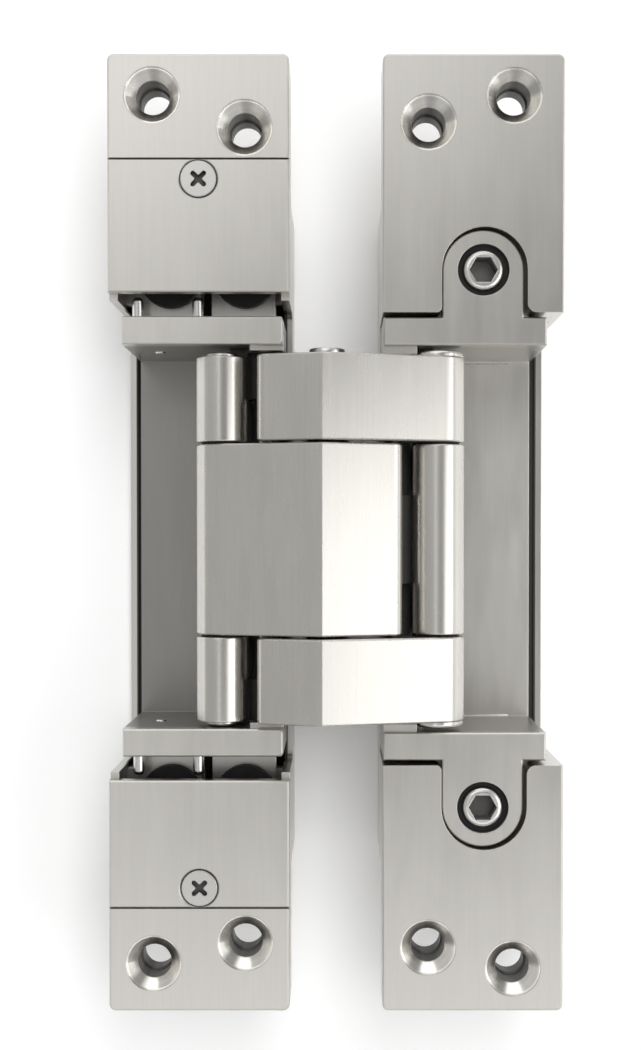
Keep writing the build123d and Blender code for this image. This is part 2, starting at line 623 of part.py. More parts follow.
# Left links: full-height knuckle, web and eye in the inner half of the leaf height
for name, s in (("left_link_top", 1), ("left_link_bottom", -1)):
    with BuildPart() as link:
        with BuildSketch(level(s * LEAF_IN)):
            with Locations(P_LEFT):
                Circle(KNUCKLE_R)
        extrude(amount=s * LEAF_T)
        fillet(link.edges().filter_by(GeomType.CIRCLE), radius=SOFT_EDGE)
        with BuildSketch(level(s * LEAF_IN)):
            bar(P_LEFT, WEB_R + 1.0, BEND_LEFT, WEB_R)
            bar(BEND_LEFT, WEB_R, Q_LEFT, EYE_R)
        extrude(amount=s * (SPLIT - SPLIT_GAP / 2 - LEAF_IN))
        with BuildSketch(level(s * LEAF_IN)):
            with Locations(P_LEFT):
                Circle(PIN_R)
            with Locations(Q_LEFT):
                Circle(PIN_R + RUN_FIT)
        extrude(amount=s * LEAF_T, mode=Mode.SUBTRACT)
    link.part.label = name
    other_parts[name] = link.part

# Right link: centre knuckle with two forks that straddle the centre arm's tongue
with BuildPart() as right_link:
    with BuildSketch(level(-ARM_H)):
        with Locations(P_RIGHT):
            Circle(KNUCKLE_R)
    extrude(amount=2 * ARM_H)
    fillet(right_link.edges().filter_by(GeomType.CIRCLE), radius=SOFT_EDGE)
    for s in (1, -1):
        with BuildSketch(level(s * FORK_IN)):
            bar(P_RIGHT, WEB_R + 1.0, BEND_RIGHT, WEB_R)
            bar(BEND_RIGHT, WEB_R, Q_RIGHT, EYE_R)
        extrude(amount=s * (ARM_H - FORK_IN))
    with BuildSketch(level(-ARM_H)):
        with Locations(P_RIGHT):
            Circle(PIN_R + OPEN_PLAY)
        with Locations(Q_RIGHT):
            Circle(PIN_R + RUN_FIT)
    extrude(amount=2 * ARM_H, mode=Mode.SUBTRACT)
right_link.part.label = "right_link"

# Pins with heads: the centre pin and the two knuckle pins
for name, place, shank, head, top in (
    ("centre_pin", CENTRE, CENTRE_PIN_R, 3.6, HEAD_TOP),
    ("left_knuckle_pin", P_LEFT, PIN_R, 3.2, HEAD_TOP),
    ("right_knuckle_pin", P_RIGHT, PIN_R, 5.1, HEAD_TOP + 0.2),
):
    with BuildPart() as pin:
        with BuildSketch(level(-LEAF_OUT)):
            with Locations(place):
                Circle(shank)
        extrude(amount=2 * LEAF_OUT)
        for s in (1, -1):
            with BuildSketch(level(s * LEAF_OUT)):
                with Locations(place):
                    Circle(head)
            extrude(amount=s * (top - LEAF_OUT))
        rims = pin.edges().filter_by(GeomType.CIRCLE).sort_by(Axis.Z)
        fillet([rims[0], rims[-1]], radius=(top - LEAF_OUT) * 0.6)
    pin.part.label = name
    other_parts[name] = pin.part

# Plain rods from flange to flange
for name, place, middle, top in (
    ("left_deep_pin", D_LEFT, LEFT_MID, CAR_L_OUT),
    ("left_link_pin", Q_LEFT, LEFT_MID, CAR_L_OUT),
    ("right_deep_pin", D_RIGHT, LINK_MID, CAR_R_OUT),
    ("right_link_pin", Q_RIGHT, LINK_MID, CAR_R_OUT),
):
    with BuildPart() as rod:
        with BuildSketch(level(-(top - PIN_SINK), middle)):
            with Locations(place):
                Circle(PIN_R)
        extrude(amount=2 * (top - PIN_SINK))
    rod.part.label = name
    other_parts[name] = rod.part

# Slide washers in the gaps between the leaves
for name, place, bore in (
    ("centre_washers", CENTRE, CENTRE_PIN_R),
    ("left_knuckle_washers", P_LEFT, PIN_R),
    ("right_knuckle_washers", P_RIGHT, PIN_R),
):
    with BuildPart() as washers:
        for s in (1, -1):
            with BuildSketch(level(s * (ARM_H + SEAT_GAP))):
                with Locations(place):
                    Circle(KNUCKLE_R - 2 * LEAF_GAP)
                    Circle(bore, mode=Mode.SUBTRACT)
            extrude(amount=s * (LEAF_GAP - 2 * SEAT_GAP))
    washers.part.label = name
    other_parts[name] = washers.part

for node in (left_housing, left_carrier, right_housing, right_carrier, centre_arm, right_link):
    export_step(node.part, "parts/" + node.part.label + ".step")
for name in other_parts:
    export_step(other_parts[name], "parts/" + name + ".step")
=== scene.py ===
"""Concealed door hinge on a white studio surface, dressed in brushed steel."""

import json
import math

import bpy
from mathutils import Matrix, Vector


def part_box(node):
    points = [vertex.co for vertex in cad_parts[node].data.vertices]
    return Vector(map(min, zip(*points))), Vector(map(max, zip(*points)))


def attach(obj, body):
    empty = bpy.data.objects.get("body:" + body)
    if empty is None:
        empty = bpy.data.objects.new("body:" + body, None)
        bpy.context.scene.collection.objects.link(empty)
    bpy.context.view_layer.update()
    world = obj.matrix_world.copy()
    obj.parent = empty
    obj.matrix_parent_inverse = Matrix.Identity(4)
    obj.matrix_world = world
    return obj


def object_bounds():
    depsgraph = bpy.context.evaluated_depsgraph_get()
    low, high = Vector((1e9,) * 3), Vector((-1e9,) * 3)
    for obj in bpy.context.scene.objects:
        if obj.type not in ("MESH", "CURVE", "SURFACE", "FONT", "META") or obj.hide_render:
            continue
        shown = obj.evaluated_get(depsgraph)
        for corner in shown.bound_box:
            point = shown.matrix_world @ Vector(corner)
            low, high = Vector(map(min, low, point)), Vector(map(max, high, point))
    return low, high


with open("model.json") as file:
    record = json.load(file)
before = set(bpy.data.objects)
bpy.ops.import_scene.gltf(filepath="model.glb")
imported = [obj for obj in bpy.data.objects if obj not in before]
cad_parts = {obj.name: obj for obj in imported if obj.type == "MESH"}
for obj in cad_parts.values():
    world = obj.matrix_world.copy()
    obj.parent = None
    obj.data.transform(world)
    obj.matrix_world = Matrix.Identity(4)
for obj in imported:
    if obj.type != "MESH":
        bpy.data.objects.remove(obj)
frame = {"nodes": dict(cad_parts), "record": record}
CAD_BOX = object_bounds()
MIDDLE = (CAD_BOX[0] + CAD_BOX[1]) / 2

# Photograph and camera
PHOTO_W = 641
PHOTO_H = 1050
SENSOR = 36.0
FRONT_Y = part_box("left_housing")[0].y
PIXELS_PER_MM = 5.037
CAMERA_DISTANCE = 0.300
CAMERA_X = 0.0004
CAMERA_Z = 0.0946
PITCH_DOWN = math.radians(1.05)
VANISH_X = 338.0
VANISH_Y = 537.0
CLIP_NEAR = 0.01
CLIP_FAR = 20.0

# Brushed steel tones, linear
STEEL = (0.600, 0.583, 0.548)
STEEL_PLAIN = (0.560, 0.545, 0.512)
STEEL_BRIGHT = (0.700, 0.690, 0.665)
BLACK = (0.010, 0.010, 0.010)
BLACK_PLASTIC = (0.012, 0.012, 0.012)

# Noise scales along X, Y and Z per metre: brush marks, turned steel, patches, smears, mottle, rings
VERTICAL = (3200.0, 3200.0, 30.0)
ROUND = (700.0, 700.0, 700.0)
PATCHES = (24.0, 24.0, 10.0)
SMEARS = (300.0, 300.0, 60.0)
MOTTLE = (600.0, 600.0, 600.0)
RING_LINES = (9000.0, 1.0, 1.0)
FINE_DETAIL, SOFT_DETAIL, RELIEF_DETAIL = 4.0, 2.0, 1.0
NOISE_ROUGHNESS = 0.6

# Part of the noise that a ramp uses: tone and roughness, brush marks, mottle, turned lines, painted
# reflection fans
TONE_RAMP = (0.36, 0.64)
LINE_RAMP = (0.30, 0.60)
MOTTLE_RAMP = (0.35, 0.65)
RING_RAMP = (0.42, 0.62)
FAN_RAMP = (-0.2, 1.6)
FAN_WAVES = (2.0, 5.0)

# Steel: darkest brush mark, spreads of tone and roughness, relief of the brush marks in metres
LINE_TONE = 0.965
TONE_SPREAD, TONE_SPREAD_CARRIER = 0.035, 0.050
ROUGHNESS_SPREAD = 0.025
RELIEF_SHARE = 0.45
RELIEF_STRENGTH = 0.6
RELIEF_DEPTH, RELIEF_DEPTH_ARMS = 0.0000009, 0.0000001
STEEL_SPECULAR = 0.15
BEVEL_SAMPLES = 4

# Black pieces: mottle from darker to lighter, and spread of the roughness
DULL_DARK, DULL_LIGHT = 0.8, 1.25
DULL_SPREAD = 0.05
DULL_SPECULAR = 0.22

# Colour sockets of a Mix node
MIX_FIRST, MIX_SECOND, MIX_RESULT = 6, 7, 2

# Fixing holes (x and height), and the middle height and half height of each pocket, in millimetres
MM = 0.001
FIXING_HOLES = [
    (-36.4, 181.9), (-18.1, 175.5), (-36.4, 9.5), (-18.1, 13.6),
    (35.3, 181.8), (18.35, 176.6), (35.3, 8.5), (18.35, 12.7),
]
LEFT_MIDDLE, LEFT_POCKET = 94.6, 38.2
RIGHT_MIDDLE, RIGHT_POCKET = 94.1, 38.6
EDGE_ROUNDING = 0.25 * MM


def middle_of(node):
    """Middle of a CAD node at rest."""
    low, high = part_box(node)
    return (low + high) / 2


def new_material(name):
    """An empty node material and its shader."""
    material = bpy.data.materials.new(name)
    material.use_nodes = True
    return material, material.node_tree.nodes["Principled BSDF"]


def math_node(tree, operation, *values, clamp=False):
    """A math node fed with numbers or with other nodes' outputs."""
    node = tree.nodes.new("ShaderNodeMath")
    node.operation = operation
    node.use_clamp = clamp
    for slot, value in zip(node.inputs, values):
        if isinstance(value, (int, float)):
            slot.default_value = value
        else:
            tree.links.new(value, slot)
    return node.outputs[0]


def both_of(tree, first, second):
    """1 where both masks are; the product of two values."""
    return math_node(tree, "MULTIPLY", first, second)


def either_of(tree, first, second):
    """1 where one of two masks is."""
    return math_node(tree, "MAXIMUM", first, second)


def own_place(tree):
    """The piece's own coordinates in metres, whole and split up."""
    place = tree.nodes.new("ShaderNodeTexCoord").outputs["Object"]
    split = tree.nodes.new("ShaderNodeSeparateXYZ")
    tree.links.new(place, split.inputs[0])
    return place, split.outputs[0], split.outputs[1], split.outputs[2]


def noise(tree, vector, scale, detail):
    """Noise over a vector that is first scaled along each axis."""
    mapping = tree.nodes.new("ShaderNodeMapping")
    mapping.inputs["Scale"].default_value = scale
    field = tree.nodes.new("ShaderNodeTexNoise")
    field.inputs["Scale"].default_value = 1.0
    field.inputs["Detail"].default_value = detail
    field.inputs["Roughness"].default_value = NOISE_ROUGHNESS
    tree.links.new(vector, mapping.inputs["Vector"])
    tree.links.new(mapping.outputs["Vector"], field.inputs["Vector"])
    return field.outputs["Fac"]


def from_axes(tree, x, z, places):
    """Distance from the nearest of some axes that run front to back."""
    flat = tree.nodes.new("ShaderNodeCombineXYZ")
    tree.links.new(x, flat.inputs[0])
    tree.links.new(z, flat.inputs[2])
    nearest = None
    for px, pz in places:
        gap = tree.nodes.new("ShaderNodeVectorMath")
        gap.operation = "DISTANCE"
        gap.inputs[1].default_value = (px * MM, 0.0, pz * MM)
        tree.links.new(flat.outputs[0], gap.inputs[0])
        if nearest is None:
            nearest = gap.outputs["Value"]
        else:
            nearest = math_node(tree, "MINIMUM", nearest, gap.outputs["Value"])
    return nearest


def smooth(tree, value, start, end, low=0.0, high=1.0):
    """low before start and high past end, smooth between. end may be the lower one."""
    node = tree.nodes.new("ShaderNodeMapRange")
    node.interpolation_type = "SMOOTHSTEP"
    flip = end < start
    node.inputs["From Min"].default_value = min(start, end)
    node.inputs["From Max"].default_value = max(start, end)
    node.inputs["To Min"].default_value = high if flip else low
    node.inputs["To Max"].default_value = low if flip else high
    tree.links.new(value, node.inputs["Value"])
    return node.outputs["Result"]


def rise(tree, value, edge):
    """Mask that goes from 0 to 1 over an edge in millimetres."""
    start, end = edge
    return smooth(tree, value, start * MM, end * MM)


def between(tree, value, span, soft):
    """Mask of a span in millimetres, with soft ends outside it."""
    start, end = span
    first = rise(tree, value, (start - soft, start))
    return both_of(tree, first, rise(tree, value, (end + soft, end)))


def ramp(tree, value, low, high, part):
    """Turns a part of a noise value into a range of greys or colours."""
    node = tree.nodes.new("ShaderNodeValToRGB")
    node.color_ramp.elements[0].position, node.color_ramp.elements[1].position = part
    node.color_ramp.elements[0].color = (*low, 1.0)
    node.color_ramp.elements[1].color = (*high, 1.0)
    tree.links.new(value, node.inputs["Fac"])
    return node.outputs["Color"]


def grey(value):
    """A colour of three equal parts."""
    return (value, value, value)


def multiplied(tree, mask, first, second):
    """A colour times another where the mask is; a mask of None is everywhere."""
    node = tree.nodes.new("ShaderNodeMix")
    node.data_type = "RGBA"
    node.blend_type = "MULTIPLY"
    if mask is None:
        node.inputs["Factor"].default_value = 1.0
    else:
        tree.links.new(mask, node.inputs["Factor"])
    tree.links.new(first, node.inputs[MIX_FIRST])
    if isinstance(second, tuple):
        node.inputs[MIX_SECOND].default_value = (*second, 1.0)
    else:
        tree.links.new(second, node.inputs[MIX_SECOND])
    return node.outputs[MIX_RESULT]


def brushed_steel(name, tone, roughness, grain, zones=None, spread=TONE_SPREAD, bump=RELIEF_DEPTH):
    """Steel with fine parallel scratches. grain is the noise scale along X, Y and Z.

    zones(tree, x, depth, z) gives places, each a mask and its factors; most of them paint shade or
    light into the colour.
    Corners are rounded a little in the shading.
    """
    material, shader = new_material(name)
    tree = material.node_tree
    shader.inputs["Metallic"].default_value = 1.0
    shader.inputs["Specular IOR Level"].default_value = STEEL_SPECULAR
    place, x, y, z = own_place(tree)
    depth = math_node(tree, "SUBTRACT", y, FRONT_Y)

    fine = noise(tree, place, grain, FINE_DETAIL)
    cloud = noise(tree, place, PATCHES, SOFT_DETAIL)
    smear = noise(tree, place, SMEARS, SOFT_DETAIL)
    soft = math_node(tree, "MULTIPLY", math_node(tree, "ADD", smear, cloud), 0.5)
    low = tuple(c * (1.0 - spread) for c in tone)
    high = tuple(c * (1.0 + spread) for c in tone)
    colour = ramp(tree, soft, low, high, TONE_RAMP)
    lines = ramp(tree, fine, grey(LINE_TONE), grey(1.0), LINE_RAMP)
    colour = multiplied(tree, None, colour, lines)
    least, most = roughness - ROUGHNESS_SPREAD, roughness + ROUGHNESS_SPREAD
    rough = ramp(tree, soft, grey(least), grey(most), TONE_RAMP)

    metal = None
    for mask, (darker, rougher, metallic) in zones(tree, x, depth, z) if zones else []:
        colour = multiplied(tree, mask, colour, grey(darker))
        rough = multiplied(tree, mask, rough, grey(rougher))
        if metallic < 1.0:
            loss = math_node(tree, "MULTIPLY", mask, 1.0 - metallic)
            metal = math_node(tree, "SUBTRACT", metal if metal is not None else 1.0, loss)
            metal = math_node(tree, "MAXIMUM", metal, 0.0)
    if metal is not None:
        tree.links.new(metal, shader.inputs["Metallic"])
    tree.links.new(colour, shader.inputs["Base Color"])
    tree.links.new(rough, shader.inputs["Roughness"])

    relief = tree.nodes.new("ShaderNodeBump")
    relief.inputs["Distance"].default_value = bump
    relief.inputs["Strength"].default_value = RELIEF_STRENGTH
    waves = noise(tree, place, tuple(RELIEF_SHARE * scale for scale in grain), RELIEF_DETAIL)
    tree.links.new(waves, relief.inputs["Height"])
    rounding = tree.nodes.new("ShaderNodeBevel")
    rounding.samples = BEVEL_SAMPLES
    rounding.inputs["Radius"].default_value = EDGE_ROUNDING
    tree.links.new(rounding.outputs["Normal"], relief.inputs["Normal"])
    tree.links.new(relief.outputs["Normal"], shader.inputs["Normal"])
    return material


def dull(name, colour, roughness):
    """A dark piece with a faint mottle."""
    material, shader = new_material(name)
    tree = material.node_tree
    shader.inputs["Metallic"].default_value = 0.0
    shader.inputs["Specular IOR Level"].default_value = DULL_SPECULAR
    place = own_place(tree)[0]
    mottle = noise(tree, place, MOTTLE, FINE_DETAIL)
    low = tuple(c * DULL_DARK for c in colour)
    high = tuple(c * DULL_LIGHT for c in colour)
    least, most = roughness - DULL_SPREAD, roughness + DULL_SPREAD
    rough = ramp(tree, mottle, grey(least), grey(most), MOTTLE_RAMP)
    tree.links.new(ramp(tree, mottle, low, high, MOTTLE_RAMP), shader.inputs["Base Color"])
    tree.links.new(rough, shader.inputs["Roughness"])
    return material


def ring_lines(tree, radius):
    """Fine turned lines round an axis."""
    return smooth(tree, noise(tree, radius, RING_LINES, SOFT_DETAIL), *RING_RAMP)


def fans(tree, x, z, places):
    """Broad lighter and darker fans round some axes: a painted reflection, as turned steel shows
    under light.
    """
    total = None
    for px, pz in places:
        dx = math_node(tree, "SUBTRACT", x, px * MM)
        dz = math_node(tree, "SUBTRACT", z, pz * MM)
        squares = math_node(tree, "ADD", both_of(tree, dx, dx), both_of(tree, dz, dz))
        near = rise(tree, math_node(tree, "SQRT", squares), FAN_EDGE)
        turn = math_node(tree, "ARCTAN2", dz, dx)
        broad, narrow = (
            math_node(tree, "SINE", math_node(tree, "MULTIPLY", turn, waves)) for waves in FAN_WAVES
        )
        here = both_of(tree, near, math_node(tree, "ADD", broad, narrow))
        total = here if total is None else math_node(tree, "ADD", total, here)
    return smooth(tree, total, *FAN_RAMP)


def height_from(tree, z, middle):
    """Distance up or down from a middle height in millimetres."""
    return math_node(tree, "ABSOLUTE", math_node(tree, "SUBTRACT", z, middle * MM))


def left_side(tree, x):
    """1 on the left body's side."""
    return rise(tree, x, (0.0, -1.0))


def right_side(tree, x):
    """1 on the right body's side."""
    return rise(tree, x, (0.0, 1.0))


def screw_axes():
    """Places of the two adjusting screws, in millimetres."""
    middles = [middle_of("right_top_adjusting_screw"), middle_of("right_bottom_adjusting_screw")]
    return [(m.x / MM, m.z / MM) for m in middles]


def cover_screw_axes():
    """Places of the two cover screws, in millimetres."""
    middles = [middle_of("left_top_cover_screw"), middle_of("left_bottom_cover_screw")]
    return [(m.x / MM, m.z / MM) for m in middles]


# Factors of a zone: a factor on the tone, a factor on the roughness, and how metallic it stays.
# Most tone factors paint shade or light into the colour.
# Cones: painted light brightens the tone, and a lower roughness gives their turned polish.
CONE_POLISH_AND_LIGHT = (1.50, 0.70, 1.0)
TURNED = (0.84, 1.1, 1.0)
# Fans: painted reflection, darker fans on the cones.
FAN_REFLECTION = (0.58, 1.0, 1.0)
# Bores: painted shade, rougher and less metallic.
BORE_SHADE = (0.20, 1.9, 0.40)
# Nearly black painted shade, hardly metallic: inside behind the carriers, behind the pivots and
# round the adjusting screw heads.
PAINTED_SHADE = (0.08, 2.0, 0.1)
# Nearly black painted shade in the gaps between the arms and on what shows through them.
GAP_SHADE = (0.10, 2.0, 0.1)
# Painted shade on the pockets' inner faces, more in the left pocket, and painted light on the right
# floor; the inner faces are rougher.
POCKET_SHADE = (0.80, 1.15, 1.0)
LEFT_INSIDE_SHADE = (0.66, 1.1, 1.0)
RIGHT_FLOOR_LIGHT = (1.40, 1.0, 1.0)
# Painted shade on the arms' backs, which are rougher too.
ARM_BACK_SHADE = (0.50, 1.4, 1.0)
COVER_HEAD = (0.84, 1.2, 1.0)
# Painted shade in the sockets and crosses of the screw heads and round the rims of the cover screw
# heads.
SOCKET_SHADE = (0.20, 1.6, 0.3)
CROSS_SHADE = (0.16, 1.8, 0.3)
HEAD_RIM_SHADE = (0.2, 1.5, 0.2)
# Painted shade in the countersinks round the cover screws.
SINK_SHADE = (0.10, 1.8, 0.2)

# Edges of the zones in millimetres, from where a zone is off to where it is fully on. A _DEPTH is
# measured behind the front faces, an _EDGE from an axis, and a _HEIGHT from a middle height.
CONE_DEPTH, CONE_EDGE = (0.10, 0.25), (5.6, 5.55)
FAN_EDGE = (6.1, 5.6)
BORE_DEPTH, BORE_EDGE = (2.0, 2.4), (3.52, 3.42)
TRAY_DEPTH, TRAY_BACK_DEPTH = (12.0, 18.0), (35.6, 35.2)
LEFT_TRAY_HEIGHT, RIGHT_TRAY_HEIGHT = (66.6, 66.4), (45.3, 45.1)
POCKET_DEPTH = (1.6, 5.0)
RIGHT_FLOOR_DEPTH = (28.0, 29.0)
PIVOT_SHADE_DEPTH = (4.5, 8.0)
RING_DEPTH, RING_EDGE = (1.35, 1.7), (5.35, 5.10)
GAP_DEPTH = (2.2, 3.0)
GAP_LEFT_HEIGHT, GAP_RIGHT_HEIGHT = (19.2, 19.5), (9.6, 9.3)
BEHIND_DEPTH, ARM_BACK_DEPTH = (5.3, 6.6), (6.0, 10.0)
SOCKET_DEPTH, SOCKET_EDGE = (1.7, 3.0), (2.95, 2.75)
COVER_HEAD_EDGE = (5.0, 4.5)
CROSS_DEPTH, CROSS_EDGE = (0.25, 0.7), (2.6, 2.4)
HEAD_RIM_DEPTH, HEAD_RIM_EDGE = (0.15, 0.3), (3.3, 3.45)
SINK_DEPTH, SINK_EDGE = (0.05, 0.3), (4.1, 3.95)

# Spans of the zones in millimetres: across the hinge, and upwards
TRAY_ACROSS = (10.4, 43.9)
PIVOTS_LEFT, PIVOTS_RIGHT = (-21.5, -10.6), (10.6, 19.5)
PIVOTS_UP = (56.0, 132.7)
GAP_LEFT, GAP_RIGHT = (-17.7, -15.9), (13.4, 15.3)
BEHIND_LEFT, BEHIND_RIGHT = (-20.6, -15.7), (12.6, 16.6)


def housing_zones(tree, x, depth, z):
    """Cones of the fixing holes with turned lines, painted light and painted reflection fans;
    painted shade in the bores and, nearly black, inside behind the carriers.
    """
    radius = from_axes(tree, x, z, FIXING_HOLES)
    # Painted light on the cones, painted reflection fans on them, and painted shade in the bores.
    cone = both_of(tree, rise(tree, depth, CONE_DEPTH), rise(tree, radius, CONE_EDGE))
    turned = both_of(tree, cone, ring_lines(tree, radius))
    fan = both_of(tree, cone, fans(tree, x, z, FIXING_HOLES))
    bore = both_of(tree, rise(tree, depth, BORE_DEPTH), rise(tree, radius, BORE_EDGE))

    # Nearly black painted shade on the inside behind the carriers.
    inside = both_of(tree, rise(tree, depth, TRAY_DEPTH), rise(tree, depth, TRAY_BACK_DEPTH))
    across = between(tree, math_node(tree, "ABSOLUTE", x), TRAY_ACROSS, 0.2)
    left = rise(tree, height_from(tree, z, LEFT_MIDDLE), LEFT_TRAY_HEIGHT)
    right = rise(tree, height_from(tree, z, RIGHT_MIDDLE), RIGHT_TRAY_HEIGHT)
    trays = either_of(
        tree, both_of(tree, left_side(tree, x), left), both_of(tree, right_side(tree, x), right)
    )
    wall_shade = both_of(tree, both_of(tree, inside, trays), across)
    return [(cone, CONE_POLISH_AND_LIGHT), (turned, TURNED), (fan, FAN_REFLECTION), (bore, BORE_SHADE), (wall_shade, PAINTED_SHADE)]


def carrier_zones(tree, x, depth, z):
    """Pockets: inner faces rougher with painted shade, more on the left, painted light on the right
    floor; nearly black painted shade behind the pivots and round the screw heads.
    """
    # Painted shade on the inner faces, more in the left pocket, and painted light on the right
    # floor.
    inner = rise(tree, depth, POCKET_DEPTH)
    inner_left = both_of(tree, inner, left_side(tree, x))
    right_floor = both_of(tree, rise(tree, depth, RIGHT_FLOOR_DEPTH), right_side(tree, x))
    # Nearly black painted shade behind the pivots.
    pivots = either_of(
        tree, between(tree, x, PIVOTS_LEFT, 0.4), between(tree, x, PIVOTS_RIGHT, 0.4)
    )
    level = between(tree, z, PIVOTS_UP, 0.3)
    pivot_shade = both_of(tree, both_of(tree, pivots, level), rise(tree, depth, PIVOT_SHADE_DEPTH))
    # Nearly black painted shade in the counterbores round the adjusting screw heads.
    heads = from_axes(tree, x, z, screw_axes())
    ring = both_of(tree, rise(tree, heads, RING_EDGE), rise(tree, depth, RING_DEPTH))
    return [
        (inner, POCKET_SHADE), (inner_left, LEFT_INSIDE_SHADE), (right_floor, RIGHT_FLOOR_LIGHT),
        (pivot_shade, PAINTED_SHADE), (ring, PAINTED_SHADE),
    ]


def arm_zones(tree, x, depth, z):
    """Painted shade on the arms: darker, rougher backs, and nearly black gaps and parts seen
    through them.
    """
    height = height_from(tree, z, RIGHT_MIDDLE)
    right = both_of(tree, between(tree, x, GAP_RIGHT, 0.1), rise(tree, height, GAP_RIGHT_HEIGHT))
    left = both_of(tree, between(tree, x, GAP_LEFT, 0.1), rise(tree, height, GAP_LEFT_HEIGHT))
    gaps = both_of(tree, either_of(tree, right, left), rise(tree, depth, GAP_DEPTH))
    behind = either_of(
        tree, between(tree, x, BEHIND_RIGHT, 0.2), between(tree, x, BEHIND_LEFT, 0.2)
    )
    behind = both_of(tree, behind, rise(tree, depth, BEHIND_DEPTH))
    back = rise(tree, depth, ARM_BACK_DEPTH)
    return [(back, ARM_BACK_SHADE), (either_of(tree, gaps, behind), GAP_SHADE)]


def screw_zones(tree, x, depth, z):
    """Painted shade in the sockets, crosses and rim gaps of the screw heads; cover screw heads a
    little darker and rougher all over.
    """
    radius = from_axes(tree, x, z, screw_axes())
    socket = both_of(tree, rise(tree, radius, SOCKET_EDGE), rise(tree, depth, SOCKET_DEPTH))
    cover = from_axes(tree, x, z, cover_screw_axes())
    head = rise(tree, cover, COVER_HEAD_EDGE)
    cross = both_of(tree, rise(tree, cover, CROSS_EDGE), rise(tree, depth, CROSS_DEPTH))
    outer = both_of(tree, rise(tree, cover, HEAD_RIM_EDGE), head)
    rim = both_of(tree, outer, rise(tree, depth, HEAD_RIM_DEPTH))
    return [(head, COVER_HEAD), (socket, SOCKET_SHADE), (cross, CROSS_SHADE), (rim, HEAD_RIM_SHADE)]


def cover_zones(tree, x, depth, z):
    """Painted shade in the countersinks of the covers round the screw heads."""
    radius = from_axes(tree, x, z, cover_screw_axes())
    sink = both_of(tree, rise(tree, radius, SINK_EDGE), rise(tree, depth, SINK_DEPTH))
    return [(sink, SINK_SHADE)]


MATERIALS = {
    "housing_steel": brushed_steel("housing_steel", STEEL, 0.30, VERTICAL, housing_zones),
    "cover_steel": brushed_steel("cover_steel", STEEL, 0.30, VERTICAL, cover_zones),
    "arm_steel": brushed_steel(
        "arm_steel", STEEL, 0.28, VERTICAL, arm_zones, bump=RELIEF_DEPTH_ARMS
    ),
    "carrier_steel": brushed_steel(
        "carrier_steel", STEEL, 0.31, VERTICAL, carrier_zones, spread=TONE_SPREAD_CARRIER
    ),
    "screw_steel": brushed_steel("screw_steel", STEEL_BRIGHT, 0.24, ROUND, screw_zones),
    "pin_steel": brushed_steel("pin_steel", STEEL_BRIGHT, 0.22, ROUND, arm_zones),
    "plate_steel": brushed_steel("plate_steel", STEEL_PLAIN, 0.34, VERTICAL),
    "dark_steel": dull("dark_steel", BLACK, 0.55),
    "washer_plastic": dull("washer_plastic", BLACK_PLASTIC, 0.6),
}

for part in frame["record"]["subparts"]:
    obj = frame["nodes"][part["node"]]
    obj.data.materials.clear()
    obj.data.materials.append(MATERIALS[part["material_slot"]])

# Small things that the photograph shows inside the pockets, in millimetres
TURNED_SIDES = 48
PIN_END_PROFILE = [(1.05, -0.30), (1.05, 0.10), (0.92, 0.22), (0.60, 0.30)]
PIN_END_X = -36.3
PIN_END_DEPTH = 13.5
CAP_FOOT = [(3.3, -0.40), (3.62, -0.10)]
CAP_CROWN = [(3.62, -0.20), (3.57, -0.09), (3.42, -0.02), (3.0, 0.0)]
CAP_TOP, CAP_BOTTOM = 1.85, 1.04
LEAF_TOP = 36.6
BEAD = 0.55
BEAD_START, BEAD_END = 14.0, 37.5
POCKET_FLOOR = 29.6


def add_piece(name, verts, faces, body, rounded):
    """A new piece of bright steel that rides on a body."""
    mesh = bpy.data.meshes.new(name)
    mesh.from_pydata(verts, [], faces)
    mesh.materials.append(MATERIALS["screw_steel"])
    for polygon in mesh.polygons:
        polygon.use_smooth = rounded
    obj = bpy.data.objects.new(name, mesh)
    bpy.context.scene.collection.objects.link(obj)
    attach(obj, body)


def turned_end(name, profile, x, depth, z, down, body):
    """End of a pin that stands proud of a flat face, turned about a vertical axis.

    profile lists radius and height; down is 1 where the end hangs down, and -1 where it stands up.
    """
    verts, faces = [], []
    for radius, height in profile:
        for k in range(TURNED_SIDES):
            turn = 2 * math.pi * k / TURNED_SIDES
            verts.append((
                x * MM + radius * MM * math.cos(turn),
                FRONT_Y + depth * MM + radius * MM * math.sin(turn),
                (z - down * height) * MM,
            ))
    for row in range(len(profile) - 1):
        for k in range(TURNED_SIDES):
            a = row * TURNED_SIDES + k
            b = row * TURNED_SIDES + (k + 1) % TURNED_SIDES
            faces.append((a, b, b + TURNED_SIDES, a + TURNED_SIDES)[::-down])
    last = (len(profile) - 1) * TURNED_SIDES
    faces.append(tuple(range(last, last + TURNED_SIDES))[::-down])
    faces.append(tuple(range(TURNED_SIDES))[::down])
    add_piece(name, verts, faces, body, True)


def bead(name, z, down, body):
    """Narrow fillet along a pocket's corner, where the floor meets a flange. down is 1 or -1."""
    corner = [(POCKET_FLOOR, z), (POCKET_FLOOR - BEAD, z), (POCKET_FLOOR, z - down * BEAD)]
    verts = [(x * MM, FRONT_Y + d * MM, h * MM) for x in (BEAD_START, BEAD_END) for d, h in corner]
    faces = [(0, 1, 2), (5, 4, 3), (1, 4, 5, 2), (0, 2, 5, 3), (0, 3, 4, 1)]
    add_piece(name, verts, [face[::-down] for face in faces], body, False)


